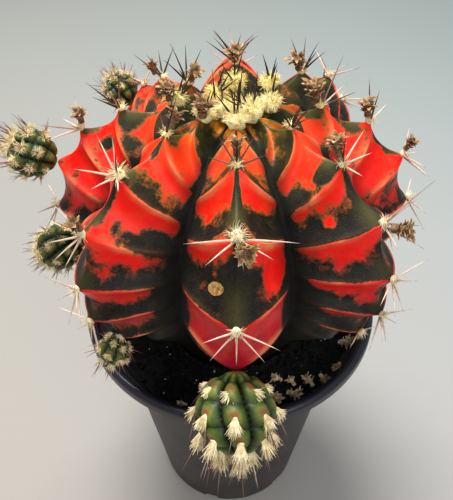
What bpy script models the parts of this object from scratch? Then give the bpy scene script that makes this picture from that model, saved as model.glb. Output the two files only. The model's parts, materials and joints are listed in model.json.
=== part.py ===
"""A round cactus in its pot: an eight-ribbed body with spine clusters at its areoles, dried flowers,
a woolly crown and five young offsets, rooted in the soil of a lipped nursery pot.

The origin is the centre of the pot's flat base, +Z is up and the front is -Y. Units are metres.
"""

import math

import bmesh
import bpy
from mathutils import Matrix, Vector
from mathutils.bvhtree import BVHTree

MM = 0.001

# Clearance between pieces that touch.
GAP = 0.3 * MM

# The pot.
POT_HEIGHT = 94 * MM
POT_RIM_RADIUS = 46 * MM
POT_LIP_WIDTH = 3.2 * MM
POT_LIP_HEIGHT = 4.2 * MM
POT_COLLAR_HEIGHT = 6 * MM
POT_SHOULDER_HEIGHT = 8 * MM
POT_SHOULDER_STEP = 7.5 * MM
POT_BASE_RADIUS = 27 * MM
POT_WALL = 1.3 * MM
POT_CORNER = 1.4 * MM
POT_SEGMENTS = 48
DRAIN_COUNT = 6
DRAIN_WIDTH = 5 * MM
DRAIN_HEIGHT = 3.2 * MM

# The soil, and the socket that the root neck stands in.
SOIL_DROP = 9.5 * MM
SOIL_CLEARANCE = 0.45 * MM
SEAT_DEPTH = 5 * MM
SEAT_CLEARANCE = 0.5 * MM

# The cactus body, measured above the soil. Distances run from the heart, a point on the plant's axis.
PLANT_X = 1 * MM
PLANT_Y = -2 * MM
HEART_HEIGHT = 42.5 * MM
BODY_REACH = 53 * MM
NECK_RADIUS = 19 * MM
FOLD_DEPTH = 2.0 * MM
RIB_SPAN = math.radians(45)
RIB_ROUNDNESS = 1.35
FOLD_SHARPNESS = 0.9
FLANK_SWELL = 0.5

# The folds slope down from the crest to the furrow by this many degrees at the top, and level off by
# a share of the angle. They fade out over the last stretch at either end of a rib.
FOLD_SLOPE = 30
FOLD_LEVELLING = 0.47
FOLD_FADE = 20
FOLD_END_ANGLE = 125
BODY_SEGMENTS = 80
BODY_RINGS = 26

# How far the ribs' crests and the furrows between them stand from the heart, as a share of
# BODY_REACH, against the angle down from the top in degrees.
CREST_LINE = ((0, 0.64), (15, 0.76), (30, 0.86), (45, 0.95), (60, 1.0), (75, 0.985), (90, 0.93),
              (103, 0.86), (118, 0.77), (135, 0.74), (148, 0.80))
FURROW_LINE = ((0, 0.64), (20, 0.685), (40, 0.69), (60, 0.69), (80, 0.69), (95, 0.67),
               (115, 0.63), (133, 0.66), (148, 0.80))

# Each rib's azimuth, how full it is, and the angles down from the top of its areoles, in degrees.
RIBS = {
    "front": (-90, 0.93, (13, 33, 52, 75, 97)),
    "front_left": (-135, 1.05, (15, 29, 45, 61, 77, 91, 108)),
    "left": (180, 0.86, (20, 37, 51, 65, 82, 98)),
    "back_left": (135, 0.64, (11, 25, 38, 51, 64, 79, 94)),
    "back": (90, 0.82, (14, 29, 45, 61, 77, 93)),
    "back_right": (45, 0.80, (18, 34, 50, 66, 82, 98)),
    "right": (0, 0.76, (13, 29, 45, 62, 79, 95)),
    "front_right": (-45, 1.0, (9, 24, 41, 58, 74, 88, 101)),
}

# The first areole of each rib stands in the crown's wool, and the last ones are bare.
FIRST_WITH_SPINES = 1
LAST_WITH_SPINES = {"front_left": 5, "front_right": 5}
LAST_ON_OTHER_RIBS = 4

# Spines: each one's turn about the areole from straight down, its rise off the surface and its
# share of SPINE_LENGTH.
SPINE_LENGTH = 10.5 * MM
SPINE_ROOT_INSET = 0.3 * MM
SPINES = ((0, 30, 0.75), (58, 26, 1.0), (-58, 26, 1.0), (108, 34, 0.95), (-108, 34, 0.95))
CUSHION_RADIUS = 1.5 * MM
CUSHION_HEIGHT = 0.8 * MM

# The crown: young wool with long upright spines.
CROWN_RADIUS = 6.5 * MM
CROWN_HEIGHT = 2.8 * MM
CROWN_SPINE_LENGTH = 13 * MM
CROWN_SPINES = 9
CROWN_SPREAD = 24
CROWN_CLEARANCE = 0.8 * MM
CROWN_FEEL = 2 * MM

# Dried flowers: the rib and areole that carry each one, and its lean down the rib in degrees.
FLOWER_LENGTH = 4.6 * MM
FLOWER_FOOT_RADIUS = 0.9 * MM
FLOWER_MOUTH_RADIUS = 2.6 * MM
FLOWER_PETALS = 7
FLOWER_SWING = 29
FLOWER_FOOT_AWAY = 1.8 * MM
FLOWER_CROWN_GAP = 5.8 * MM
FLOWERS = (("front", 1, -35), ("front", 2, 26), ("front_left", 0, 15), ("front_left", 1, -35),
           ("front_left", 3, -25), ("left", 0, 12), ("left", 2, -35), ("back_left", 1, -30),
           ("back_left", 2, 12), ("back", 1, -30), ("back_right", 1, -30), ("right", 1, -20),
           ("right", 2, -35), ("right", 3, -30), ("front_right", 2, -40), ("front_right", 3, 20))

# Offsets: the rib and areole that each one grew from, its radius, how far its tip droops down the
# rib in degrees, and the length of its spines.
OFFSETS = {
    "offset_front": ("front", 4, 9.4 * MM, 52, 12.5 * MM),
    "offset_upper_left": ("left", 3, 6.3 * MM, -12, 6.5 * MM),
    "offset_lower_left": ("left", 5, 6.8 * MM, 0, 7.0 * MM),
    "offset_back_left": ("back_left", 4, 5.0 * MM, -10, 5.5 * MM),
    "offset_low_left": ("front_left", 6, 4.0 * MM, 0, 6.0 * MM),
}
OFFSET_SPINES = 14
OFFSET_SPREAD = 66

# Leaves and spines that follow one another round a shoot turn by this angle.
GOLDEN_TURN = math.radians(137.5)

# Places worked out from the sizes above.
SOIL_TOP = POT_HEIGHT - SOIL_DROP
HEART = Vector((PLANT_X, PLANT_Y, SOIL_TOP + HEART_HEIGHT))
BODY_END_ANGLE = 148

MATERIALS = {
    "pot": ((0.018, 0.021, 0.028), 0.42),
    "soil": ((0.012, 0.009, 0.007), 0.95),
    "flesh": ((0.55, 0.035, 0.018), 0.45),
    "young_flesh": ((0.06, 0.11, 0.025), 0.5),
    "spines": ((0.33, 0.22, 0.13), 0.55),
    "wool": ((0.72, 0.62, 0.38), 0.95),
    "dried_flower": ((0.19, 0.10, 0.045), 0.9),
}


def clear_scene():
    for old in list(bpy.data.objects):
        bpy.data.objects.remove(old)


def material(name):
    found = bpy.data.materials.get(name)
    if found:
        return found
    colour, roughness = MATERIALS[name]
    made = bpy.data.materials.new(name)
    made.use_nodes = True
    shader = made.node_tree.nodes["Principled BSDF"]
    shader.inputs["Base Color"].default_value = (*colour, 1)
    shader.inputs["Roughness"].default_value = roughness
    shader.inputs["Metallic"].default_value = 0
    return made


def add_object(name, shape, finish, smooth_angle=40):
    """Makes the object of a finished bmesh, with its normals facing out."""
    bmesh.ops.recalc_face_normals(shape, faces=shape.faces)
    mesh = bpy.data.meshes.new(name)
    shape.to_mesh(mesh)
    shape.free()
    mesh.materials.append(material(finish))
    mesh.shade_smooth()
    mesh.set_sharp_from_angle(angle=math.radians(smooth_angle))
    made = bpy.data.objects.new(name, mesh)
    bpy.context.scene.collection.objects.link(made)
    return made


def turned(profile, segments):
    """Spins a profile of (radius, height) points, whose first and last lie on the axis, about +Z."""
    shape = bmesh.new()
    line = [shape.verts.new((radius, 0, height)) for radius, height in profile]
    edges = [shape.edges.new(pair) for pair in zip(line, line[1:])]
    bmesh.ops.spin(shape, geom=line + edges, axis=(0, 0, 1), cent=(0, 0, 0), dvec=(0, 0, 0),
                   angle=2 * math.pi, steps=segments, use_merge=True, use_duplicate=False)
    bmesh.ops.remove_doubles(shape, verts=shape.verts, dist=1e-6)
    return shape


def curve_through(points, x):
    """A smooth curve through (x, y) points: Hermite pieces with the slope of their neighbours."""
    last = len(points) - 1
    i = 0
    while i < last - 1 and x > points[i + 1][0]:
        i += 1
    slopes = []
    for j in (i, i + 1):
        before, after = points[max(j - 1, 0)], points[min(j + 1, last)]
        slopes.append((after[1] - before[1]) / (after[0] - before[0]))
    (x0, y0), (x1, y1) = points[i], points[i + 1]
    t = min(max((x - x0) / (x1 - x0), 0), 1)
    width = x1 - x0
    return ((2 * t**3 - 3 * t**2 + 1) * y0 + (t**3 - 2 * t**2 + t) * width * slopes[0]
            + (3 * t**2 - 2 * t**3) * y1 + (t**3 - t**2) * width * slopes[1])


# --- The pot and its soil ---------------------------------------------------------------------


def shoulder_top():
    return POT_HEIGHT - POT_COLLAR_HEIGHT


def shoulder_foot():
    return shoulder_top() - POT_SHOULDER_HEIGHT


def collar_radius():
    return POT_RIM_RADIUS - POT_LIP_WIDTH + POT_WALL


def wall_top_radius():
    return collar_radius() - POT_SHOULDER_STEP


def inner_radius(height):
    """The pot's inside radius at a height: collar, shoulder and tapered wall."""
    top = collar_radius() - POT_WALL
    foot = wall_top_radius() - POT_WALL
    base = POT_BASE_RADIUS - POT_WALL
    if height >= shoulder_top():
        return top
    if height >= shoulder_foot():
        return foot + (top - foot) * (height - shoulder_foot()) / POT_SHOULDER_HEIGHT
    return base + (foot - base) * (height - POT_WALL) / (shoulder_foot() - POT_WALL)


def make_pot():
    lip_steps = 6
    lip_centre = POT_RIM_RADIUS - POT_LIP_WIDTH / 2
    profile = [(0, 0), (POT_BASE_RADIUS - POT_CORNER, 0), (POT_BASE_RADIUS, POT_CORNER),
               (wall_top_radius(), shoulder_foot()), (collar_radius(), shoulder_top()),
               (collar_radius(), POT_HEIGHT - POT_LIP_HEIGHT)]
    for step in range(lip_steps + 1):
        turn = math.pi * step / lip_steps
        profile.append((lip_centre + POT_LIP_WIDTH / 2 * math.cos(turn),
                        POT_HEIGHT - POT_LIP_WIDTH / 2 * (1 - math.sin(turn))))
    profile += [(inner_radius(shoulder_top()), shoulder_top()), (inner_radius(shoulder_foot()), shoulder_foot()),
                (inner_radius(POT_WALL), POT_WALL), (0, POT_WALL)]
    pot = add_object("pot", turned(profile, POT_SEGMENTS), "pot")

    cutters = bmesh.new()
    for step in range(DRAIN_COUNT):
        turn = Matrix.Rotation(2 * math.pi * (step + 0.25) / DRAIN_COUNT, 4, "Z")
        reach = 3 * POT_WALL
        place = Matrix.Translation((POT_BASE_RADIUS, 0, 0))
        size = Matrix.Diagonal((2 * reach, DRAIN_WIDTH, 2 * DRAIN_HEIGHT, 1))
        bmesh.ops.create_cube(cutters, size=1, matrix=turn @ place @ size)
    cutter = add_object("drain_cutter", cutters, "pot")
    cutter.hide_render = True
    cutter.display_type = "WIRE"
    cut = pot.modifiers.new("drain_slots", "BOOLEAN")
    cut.object = cutter
    cut.operation = "DIFFERENCE"


def make_soil():
    seat_radius = NECK_RADIUS + SEAT_CLEARANCE
    seat_depth = SEAT_DEPTH + SEAT_CLEARANCE
    floor = POT_WALL + GAP
    side = [(inner_radius(z) - SOIL_CLEARANCE, z) for z in (floor, shoulder_foot(), SOIL_TOP)]
    shape = turned([(0, floor), *side, (0, SOIL_TOP)], POT_SEGMENTS)
    soil = add_object("soil", shape, "soil")

    hole = bmesh.new()
    bmesh.ops.create_cone(hole, cap_ends=True, segments=BODY_SEGMENTS // 2, radius1=seat_radius,
                          radius2=seat_radius, depth=2 * seat_depth,
                          matrix=Matrix.Translation((PLANT_X, PLANT_Y, SOIL_TOP)))
    cutter = add_object("seat_cutter", hole, "soil")
    cutter.hide_render = True
    cutter.display_type = "WIRE"
    cut = soil.modifiers.new("seat", "BOOLEAN")
    cut.object = cutter
    cut.operation = "DIFFERENCE"


# --- The cactus body --------------------------------------------------------------------------


def nearest_rib(azimuth):
    """The rib that this azimuth (radians) lies on, and how far out from its crest it is, 0 to 1."""
    found = []
    for name, (rib_azimuth, _, _) in RIBS.items():
        away = (azimuth - math.radians(rib_azimuth) + math.pi) % (2 * math.pi) - math.pi
        found.append((abs(away), name))
    away, name = min(found)
    return name, min(away / (RIB_SPAN / 2), 1)


def fold(angle, stations):
    """0 at an areole and 1 halfway to the next, so that each areole stands on a transverse fold."""
    first, last = stations[0], stations[-1]
    if angle <= first:
        t = (first - angle) / (2 * first)
    elif angle >= last:
        t = (angle - last) / (stations[-1] - stations[-2])
    else:
        i = max(k for k, station in enumerate(stations) if station <= angle)
        t = (angle - stations[i]) / (stations[min(i + 1, len(stations) - 1)] - stations[i] or 1)
    return abs(math.sin(math.pi * min(t, 1))) ** FOLD_SHARPNESS


def body_distance(angle, azimuth):
    """How far the skin is from the heart, at an angle down from the top (degrees) and an azimuth."""
    rib, out = nearest_rib(azimuth)
    _, fullness, stations = RIBS[rib]
    furrow = curve_through(FURROW_LINE, angle)
    rise = max(curve_through(CREST_LINE, angle) - furrow, 0) * fullness
    distance = BODY_REACH * (furrow + rise * (1 - out**RIB_ROUNDNESS))
    slope = FOLD_SLOPE - FOLD_LEVELLING * angle
    flank = (1 - out**3) * (1 + FLANK_SWELL * math.sin(math.pi * out))
    fade = min(angle / FOLD_FADE, 1) * min(max((FOLD_END_ANGLE - angle) / FOLD_FADE, 0), 1)
    return distance - FOLD_DEPTH * fold(angle - slope * out, stations) * flank * fade


def from_heart(angle, azimuth):
    """The direction from the heart at an angle down from the top (degrees) and an azimuth."""
    down = math.radians(angle)
    return Vector((math.sin(down) * math.cos(azimuth), math.sin(down) * math.sin(azimuth), math.cos(down)))


def make_body():
    """A UV sphere whose rings take the body's shape. Its last ring and pole close the root neck."""
    shape = bmesh.new()
    bmesh.ops.create_uvsphere(shape, u_segments=BODY_SEGMENTS, v_segments=BODY_RINGS, radius=1)
    last_ring = math.pi * (BODY_RINGS - 1) / BODY_RINGS
    neck_end = SOIL_TOP - SEAT_DEPTH
    for vert in shape.verts:
        tilt = math.acos(max(min(vert.co.z, 1), -1))
        azimuth = math.atan2(vert.co.y, vert.co.x)
        if tilt > last_ring + 1e-4:
            vert.co = (PLANT_X, PLANT_Y, neck_end)
        elif tilt > last_ring - 1e-4:
            vert.co = (PLANT_X + NECK_RADIUS * math.cos(azimuth), PLANT_Y + NECK_RADIUS * math.sin(azimuth),
                       neck_end)
        else:
            angle = BODY_END_ANGLE * tilt / (math.pi * (BODY_RINGS - 2) / BODY_RINGS)
            vert.co = HEART + from_heart(angle, azimuth) * body_distance(angle, azimuth)
            if angle > BODY_END_ANGLE - 0.01:
                vert.co = (PLANT_X + NECK_RADIUS * math.cos(azimuth), PLANT_Y + NECK_RADIUS * math.sin(azimuth),
                           SOIL_TOP + GAP)
    tree = BVHTree.FromBMesh(shape)
    add_object("cactus_body", shape, "flesh", smooth_angle=60)
    return tree


def skin_frame(tree, rib, angle):
    """The frame of a point on a rib's crest: +Z out of the skin, +X down along the crest."""
    azimuth = math.radians(RIBS[rib][0])
    inward = -from_heart(angle, azimuth)
    point, _, _, _ = tree.ray_cast(HEART - inward * 2 * BODY_REACH, inward)
    step = 4
    smooth = [HEART + from_heart(a, azimuth) * BODY_REACH * curve_through(CREST_LINE, a)
              for a in (angle - step, angle + step)]
    down = (smooth[1] - smooth[0]).normalized()
    across = Vector((-math.sin(azimuth), math.cos(azimuth), 0))
    out = down.cross(across).normalized()
    if out.dot(inward) > 0:
        out = -out
        across = -across
    frame = Matrix((down, across, out)).transposed().to_4x4()
    frame.translation = point
    return frame


# --- Spines, flowers and offsets --------------------------------------------------------------


def draw_out_spine(shape, direction, length, inset, used):
    """Draws the free face that looks most along direction out to a point."""
    free = [face for face in shape.faces if face not in used and len(face.verts) == 3]
    face = max(free, key=lambda each: each.normal.dot(direction))
    used.add(face)
    rim = bmesh.ops.inset_individual(shape, faces=[face], thickness=inset)
    used.update(rim["faces"])
    centre = face.calc_center_median()
    used.discard(face)
    poked = bmesh.ops.poke(shape, faces=[face])
    used.update(poked["faces"])
    poked["verts"][0].co = centre + direction * length


def spine_direction(turn, rise):
    return Vector((math.cos(rise) * math.cos(turn), math.cos(rise) * math.sin(turn), math.sin(rise)))


def make_spine_cluster(name, frame):
    """A woolly areole cushion with its spines, as one closed piece."""
    shape = bmesh.new()
    bmesh.ops.create_icosphere(shape, subdivisions=1, radius=CUSHION_RADIUS)
    bmesh.ops.scale(shape, vec=(1, 1, CUSHION_HEIGHT / CUSHION_RADIUS), verts=shape.verts)
    shape.normal_update()
    used = set()
    for turn, rise, share in SPINES:
        direction = spine_direction(math.radians(turn), math.radians(rise))
        draw_out_spine(shape, direction, SPINE_LENGTH * share, SPINE_ROOT_INSET, used)
    lift = Matrix.Translation((0, 0, CUSHION_HEIGHT + GAP))
    bmesh.ops.transform(shape, matrix=frame @ lift, verts=shape.verts)
    add_object(name, shape, "spines")


def make_flower(name, frame, lean, away):
    """A dried flower: a short tube that opens into a ragged mouth, leaning along the rib."""
    shape = bmesh.new()
    made = bmesh.ops.create_cone(shape, cap_ends=True, segments=FLOWER_PETALS, radius1=FLOWER_FOOT_RADIUS,
                                 radius2=FLOWER_MOUTH_RADIUS, depth=FLOWER_LENGTH)
    top = [vert for vert in made["verts"] if vert.co.z > 0]
    mouth = next(face for face in shape.faces if set(face.verts) == set(top))
    bmesh.ops.inset_individual(shape, faces=[mouth], thickness=FLOWER_MOUTH_RADIUS / 3,
                               depth=-FLOWER_LENGTH / 5)
    # A flower that leans down the rib swings aside, between two spines.
    swing = Matrix.Rotation(math.radians(FLOWER_SWING if lean > 0 else 0), 4, "Z")
    foot = Matrix.Translation((math.copysign(away, lean), 0, 2 * CUSHION_HEIGHT + 3 * GAP))
    turn = Matrix.Rotation(math.radians(lean), 4, "Y")
    rise = Matrix.Translation((0, 0, FLOWER_LENGTH / 2))
    bmesh.ops.transform(shape, matrix=frame @ swing @ foot @ turn @ rise, verts=shape.verts)
    add_object(name, shape, "dried_flower")


def skin_top(tree, x, y):
    """The highest that the skin stands at a place and around it, within CROWN_FEEL."""
    heights = []
    for step in range(9):
        reach = CROWN_FEEL if step else 0
        turn = math.pi * step / 4
        above = Vector((x + reach * math.cos(turn), y + reach * math.sin(turn), HEART.z + 2 * BODY_REACH))
        heights.append(tree.ray_cast(above, Vector((0, 0, -1)))[0].z)
    return max(heights)


def make_crown(tree):
    """The woolly tip, laid into the hollow at the body's top, with long upright spines."""
    shape = bmesh.new()
    bmesh.ops.create_icosphere(shape, subdivisions=2, radius=CROWN_RADIUS)
    bmesh.ops.scale(shape, vec=(1, 1, CROWN_HEIGHT / CROWN_RADIUS), verts=shape.verts)
    shape.normal_update()
    used = set()
    for step in range(CROWN_SPINES):
        rise = math.radians(88 - CROWN_SPREAD * math.sqrt(step / CROWN_SPINES))
        direction = spine_direction(GOLDEN_TURN * step, rise)
        draw_out_spine(shape, direction, CROWN_SPINE_LENGTH, SPINE_ROOT_INSET, used)
    apex = tree.ray_cast(HEART + Vector((0, 0, 2 * BODY_REACH)), Vector((0, 0, -1)))[0]
    bmesh.ops.translate(shape, vec=apex + Vector((0, 0, CROWN_HEIGHT / 2)), verts=shape.verts)
    for vert in shape.verts:
        vert.co.z = max(vert.co.z, skin_top(tree, vert.co.x, vert.co.y) + CROWN_CLEARANCE)
    add_object("crown_wool", shape, "wool")


def make_offset(name, frame, radius, droop, spine_length):
    """A young offset: a ball, with a few spines of its own drawn out of it round its drooping tip."""
    shape = bmesh.new()
    bmesh.ops.create_icosphere(shape, subdivisions=3, radius=radius)
    used = set()
    for step in range(OFFSET_SPINES):
        rise = math.radians(90 - OFFSET_SPREAD * math.sqrt((step + 0.5) / OFFSET_SPINES))
        direction = spine_direction(GOLDEN_TURN * step, rise)
        draw_out_spine(shape, direction, spine_length, SPINE_ROOT_INSET, used)
    lean = Matrix.Rotation(math.radians(droop), 4, "Y")
    lift = Matrix.Translation((0, 0, radius + GAP))
    bmesh.ops.transform(shape, matrix=frame @ lift @ lean, verts=shape.verts)
    add_object(name, shape, "young_flesh")


def main():
    clear_scene()
    make_pot()
    make_soil()
    skin = make_body()
    make_crown(skin)
    grown = {(rib, areole) for rib, areole, *_ in OFFSETS.values()}
    for rib, (_, _, stations) in RIBS.items():
        last = LAST_WITH_SPINES.get(rib, LAST_ON_OTHER_RIBS)
        for areole in range(FIRST_WITH_SPINES, last + 1):
            if (rib, areole) in grown:
                continue
            make_spine_cluster(f"spines_{rib}_{areole}", skin_frame(skin, rib, stations[areole]))
    for rib, areole, lean in FLOWERS:
        frame = skin_frame(skin, rib, RIBS[rib][2][areole])
        away = FLOWER_FOOT_AWAY
        if areole < FIRST_WITH_SPINES:
            # A flower on a crown areole stands clear of the crown's wool and spines.
            from_axis = math.hypot(frame.translation.x - PLANT_X, frame.translation.y - PLANT_Y)
            away = max(CROWN_RADIUS + FLOWER_CROWN_GAP - from_axis, FLOWER_FOOT_AWAY)
        make_flower(f"dried_flower_{rib}_{areole}", frame, lean, away)
    for name, (rib, areole, *build) in OFFSETS.items():
        make_offset(name, skin_frame(skin, rib, RIBS[rib][2][areole]), *build)


main()
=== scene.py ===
# %% [markdown]
# # A potted round cactus
# An eight-ribbed red cactus stands in black potting mix in a lipped plastic pot. Its design model
# fixes where each piece goes and how big it is. This script gives every piece its real surface:
# skin with pigment patches, wool, needles, withered flowers, coarse soil and moulded plastic.

# %% Load the design model
import json
import math
import random

import bmesh
import bpy
from mathutils import Matrix, Vector, noise

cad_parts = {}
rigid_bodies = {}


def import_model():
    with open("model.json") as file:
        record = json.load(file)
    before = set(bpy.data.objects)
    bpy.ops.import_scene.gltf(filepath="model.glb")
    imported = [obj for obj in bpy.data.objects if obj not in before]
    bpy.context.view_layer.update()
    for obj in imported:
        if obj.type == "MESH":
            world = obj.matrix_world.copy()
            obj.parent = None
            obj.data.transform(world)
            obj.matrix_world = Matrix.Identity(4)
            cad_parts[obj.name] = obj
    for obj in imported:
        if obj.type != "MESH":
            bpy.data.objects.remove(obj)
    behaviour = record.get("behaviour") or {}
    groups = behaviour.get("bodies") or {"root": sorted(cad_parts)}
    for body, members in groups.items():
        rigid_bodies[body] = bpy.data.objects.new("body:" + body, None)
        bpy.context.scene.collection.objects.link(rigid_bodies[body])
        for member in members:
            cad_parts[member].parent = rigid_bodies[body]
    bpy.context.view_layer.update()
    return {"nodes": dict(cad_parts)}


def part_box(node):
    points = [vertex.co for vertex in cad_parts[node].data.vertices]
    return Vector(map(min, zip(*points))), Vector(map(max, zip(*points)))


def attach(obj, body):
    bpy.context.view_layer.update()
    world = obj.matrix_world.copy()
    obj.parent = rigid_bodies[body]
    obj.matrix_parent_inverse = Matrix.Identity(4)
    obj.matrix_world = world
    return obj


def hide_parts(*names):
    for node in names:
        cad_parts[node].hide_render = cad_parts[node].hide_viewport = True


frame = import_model()
MM = 0.001
GAP = 0.3 * MM

# %% [markdown]
# ## Shared tools
# Every piece is finished in the same way: its normals are made to face out, its mesh goes on an
# object at the origin, and the object rides on the one body of this model. A few shader helpers
# keep the material cells short: `wire` adds a node and links or sets its inputs by name.

# %% Finish a piece
def as_mesh(name, shape):
    """Turns a bmesh into a mesh and frees it."""
    mesh = bpy.data.meshes.new(name)
    shape.to_mesh(mesh)
    shape.free()
    return mesh


def as_object(name, data):
    """Puts a new object with this data in the scene."""
    made = bpy.data.objects.new(name, data)
    bpy.context.scene.collection.objects.link(made)
    return made


def add_piece(name, shape, finish, slot, *stands_for, smooth_angle=50):
    """Makes a piece of a finished bmesh, in one material."""
    bmesh.ops.recalc_face_normals(shape, faces=shape.faces)
    mesh = as_mesh(name, shape)
    mesh.materials.append(finish)
    mesh.shade_smooth()
    mesh.set_sharp_from_angle(angle=math.radians(smooth_angle))
    piece = as_object(name, mesh)
    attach(piece, "root")
    if stands_for:
        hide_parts(*stands_for)
    return piece


def new_shape(*names):
    """A new bmesh and its named layers, each with a number for every vertex."""
    shape = bmesh.new()
    return shape, *(shape.verts.layers.float.new(name) for name in names)


def turned(profile, segments):
    """Spins a profile of (radius, height) points, whose ends lie on the axis, about +Z."""
    shape = bmesh.new()
    line = [shape.verts.new((radius, 0, height)) for radius, height in profile]
    edges = [shape.edges.new(pair) for pair in zip(line, line[1:])]
    bmesh.ops.spin(shape, geom=line + edges, axis=(0, 0, 1), cent=(0, 0, 0), dvec=(0, 0, 0),
                   angle=2 * math.pi, steps=segments, use_merge=True, use_duplicate=False)
    bmesh.ops.remove_doubles(shape, verts=shape.verts, dist=1e-6)
    return shape


def curve_through(points, x):
    """A smooth curve through (x, y) points: Hermite pieces with the slope of their neighbours."""
    last = len(points) - 1
    i = 0
    while i < last - 1 and x > points[i + 1][0]:
        i += 1
    slopes = []
    for j in (i, i + 1):
        before, after = points[max(j - 1, 0)], points[min(j + 1, last)]
        slopes.append((after[1] - before[1]) / (after[0] - before[0]))
    (x0, y0), (x1, y1) = points[i], points[i + 1]
    t = min(max((x - x0) / (x1 - x0), 0), 1)
    width = x1 - x0
    return ((2 * t**3 - 3 * t**2 + 1) * y0 + (t**3 - 2 * t**2 + t) * width * slopes[0]
            + (3 * t**2 - 2 * t**3) * y1 + (t**3 - t**2) * width * slopes[1])


def ease(low, high, x):
    """0 below low, 1 above high, and a smooth rise between them."""
    t = min(max((x - low) / (high - low), 0), 1)
    return t * t * (3 - 2 * t)


# %% Shader helpers
def put(tree, socket, value):
    """Links another node's output to a socket, or sets the socket to a constant."""
    if isinstance(value, bpy.types.NodeSocket):
        tree.links.new(value, socket)
    else:
        socket.default_value = value


def wire(tree, kind, inputs=None, **settings):
    """Adds a shader node with its settings and its inputs."""
    node = tree.nodes.new("ShaderNode" + kind)
    for key, value in settings.items():
        setattr(node, key, value)
    for key, value in (inputs or {}).items():
        put(tree, node.inputs[key], value)
    return node


def ramp(tree, factor, *stops):
    """A colour ramp through (position, colour) stops. A colour is a grey number or three numbers."""
    node = wire(tree, "ValToRGB", {"Fac": factor})
    elements = node.color_ramp.elements
    while len(elements) < len(stops):
        elements.new(0.5)
    for element, (position, colour) in zip(elements, stops):
        element.position = position
        element.color = (*colour, 1) if isinstance(colour, tuple) else (colour,) * 3 + (1,)
    return node.outputs["Color"]


def mix(tree, factor, first, second, blend="MIX"):
    """Mixes two colours by a factor."""
    node = wire(tree, "Mix", data_type="RGBA", blend_type=blend)
    for name, value in (("Factor_Float", factor), ("A_Color", first), ("B_Color", second)):
        socket = next(each for each in node.inputs if each.identifier == name)
        put(tree, socket, (*value, 1) if isinstance(value, tuple) else value)
    return next(each for each in node.outputs if each.identifier == "Result_Color")


def fade(tree, value, low, high, first, second):
    """The first colour where the value is below low, and the second where it is above high."""
    return mix(tree, ramp(tree, value, (low, 0.0), (high, 1.0)), first, second)


def maths(tree, operation, first, second):
    node = wire(tree, "Math", operation=operation)
    for socket, value in zip(node.inputs, (first, second)):
        put(tree, socket, value)
    return node.outputs[0]


def rising(tree, value, low, high):
    """0 where the value is below low, and 1 where it is above high."""
    return wire(tree, "MapRange", {"Value": value, "From Min": low, "From Max": high}).outputs["Result"]


def object_place(tree):
    return wire(tree, "TexCoord").outputs["Object"]


def speckle(tree, scale, detail=3, roughness=0.6):
    """Noise on object coordinates: its scale is in lumps per metre."""
    inputs = {"Vector": object_place(tree), "Scale": scale, "Detail": detail, "Roughness": roughness}
    return wire(tree, "TexNoise", inputs).outputs["Fac"]


def wavering(tree, amount, *speckle_settings):
    """Speckles that stray to both sides of zero, by half the amount at most."""
    centred = maths(tree, "SUBTRACT", speckle(tree, *speckle_settings), 0.5)
    return maths(tree, "MULTIPLY", centred, amount)


def attribute(tree, name):
    return wire(tree, "Attribute", attribute_name=name).outputs["Fac"]


def new_finish(name, **constants):
    """A material whose Principled shader has these constants. Returns it, its tree and its shader."""
    finish = bpy.data.materials.new(name)
    finish.use_nodes = True
    shader = finish.node_tree.nodes["Principled BSDF"]
    for key, value in constants.items():
        shader.inputs[key.replace("_", " ")].default_value = value
    return finish, finish.node_tree, shader


def feed(tree, shader, **sources):
    """Links outputs to the shader's inputs, whose names have _ in place of a space."""
    for key, value in sources.items():
        tree.links.new(value, shader.inputs[key.replace("_", " ")])


# %% Node group: a fine grain that roughens a surface
GRAIN = bpy.data.node_groups.new("fine_grain", "ShaderNodeTree")
for name, start in (("Scale", 2000.0), ("Depth", 0.0001), ("Strength", 0.4)):
    GRAIN.interface.new_socket(name, in_out="INPUT", socket_type="NodeSocketFloat").default_value = start
GRAIN.interface.new_socket("Normal", in_out="OUTPUT", socket_type="NodeSocketVector")
GRAIN.interface.new_socket("Mask", in_out="OUTPUT", socket_type="NodeSocketFloat")
given = GRAIN.nodes.new("NodeGroupInput").outputs
lumps = wire(GRAIN, "TexNoise", {"Vector": object_place(GRAIN), "Scale": given["Scale"], "Detail": 2.0})
bump = wire(GRAIN, "Bump", {"Height": lumps.outputs["Fac"], "Distance": given["Depth"],
                            "Strength": given["Strength"]})
results = GRAIN.nodes.new("NodeGroupOutput").inputs
GRAIN.links.new(bump.outputs["Normal"], results["Normal"])
GRAIN.links.new(lumps.outputs["Fac"], results["Mask"])


def grain(tree, scale, depth, strength):
    """The group's outputs, Normal and Mask, for lumps per metre and a depth in metres."""
    inputs = {"Scale": scale, "Depth": depth, "Strength": strength}
    return wire(tree, "Group", inputs, node_tree=GRAIN).outputs


# %% [markdown]
# ## Camera
# The camera comes first, so that each piece can be judged in the view that it is made for. It looks
# down on the rim from about one pot's height above it. Its distance and aim are shares of the rim's
# radius, which the design model gives.

# %% Camera
pot_low, pot_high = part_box("pot")
RIM = (pot_high.x - pot_low.x) / 2
AIM_ASIDE, AIM_ABOVE, CAMERA_AWAY = -0.025, 0.435, 4.033
LOOK_DOWN = math.radians(44.63)
LENS = 44.25
aim = Vector((AIM_ASIDE * RIM, 0, pot_high.z + AIM_ABOVE * RIM))
camera = as_object("camera", bpy.data.cameras.new("camera"))
camera.data.lens = LENS
camera.data.clip_start = 5 * MM
camera.location = aim + CAMERA_AWAY * RIM * Vector((0, -math.cos(LOOK_DOWN), math.sin(LOOK_DOWN)))
camera.rotation_euler = (aim - camera.location).to_track_quat("-Z", "Y").to_euler()
bpy.context.scene.camera = camera
print("camera at", [round(each / MM, 1) for each in camera.location], "mm")

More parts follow.
